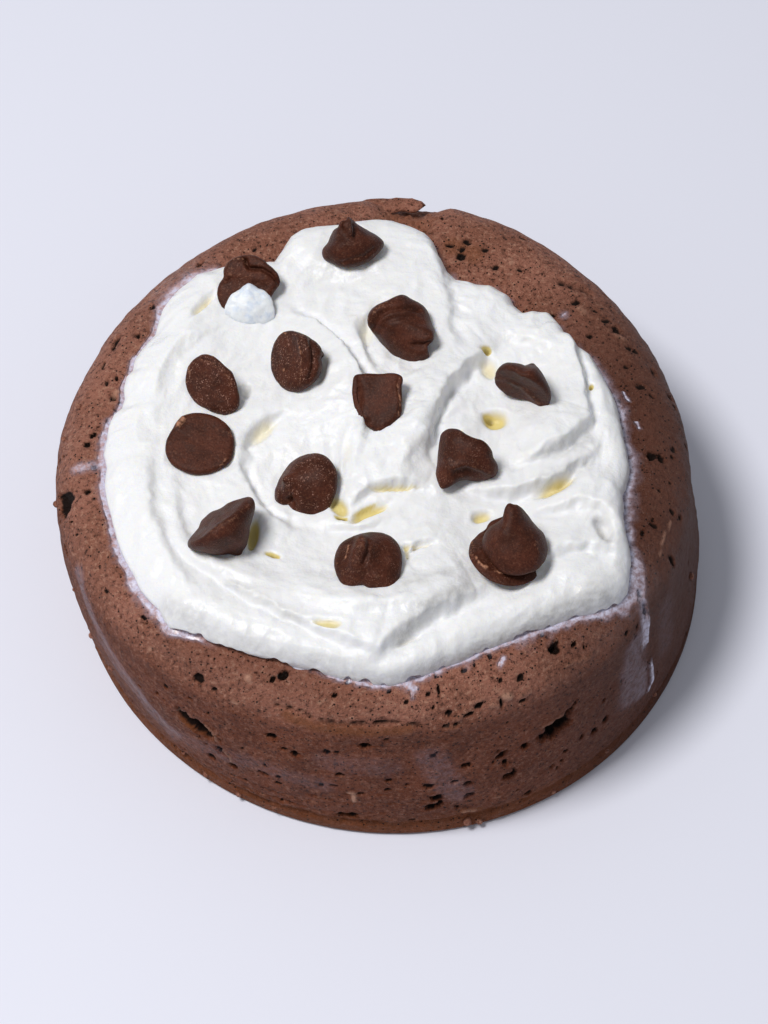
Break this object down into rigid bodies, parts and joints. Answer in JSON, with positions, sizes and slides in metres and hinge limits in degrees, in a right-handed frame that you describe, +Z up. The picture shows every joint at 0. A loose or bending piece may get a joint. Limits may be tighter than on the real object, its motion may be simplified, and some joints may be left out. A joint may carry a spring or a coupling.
{
  "type": "chocolate cheesecake",
  "caption": "Small round uncut chocolate cheesecake, topped with swirled whipped cream and scattered chocolate chips.",
  "frame": {"origin": "on the surface it rests on, under the middle of the whole", "axes": "+Z up, -Y towards the shown front, +X to the right seen from the front"},
  "size_m": [0.1016, 0.102, 0.0457],
  "materials": {
    "chocolate_cheesecake": null,
    "whipped_cream": null,
    "chocolate_chip": null
  },
  "bodies": {
    "root": {"cake": "chocolate_cheesecake", "whipped_cream": "whipped_cream", "chip_01": "chocolate_chip", "chip_02": "chocolate_chip", "chip_03": "chocolate_chip", "chip_04": "chocolate_chip", "chip_05": "chocolate_chip", "chip_06": "chocolate_chip", "chip_07": "chocolate_chip", "chip_08": "chocolate_chip", "chip_09": "chocolate_chip", "chip_10": "chocolate_chip", "chip_11": "chocolate_chip", "chip_12": "chocolate_chip", "chip_13": "chocolate_chip", "chip_14": "chocolate_chip"}
  },
  "joints": []
}
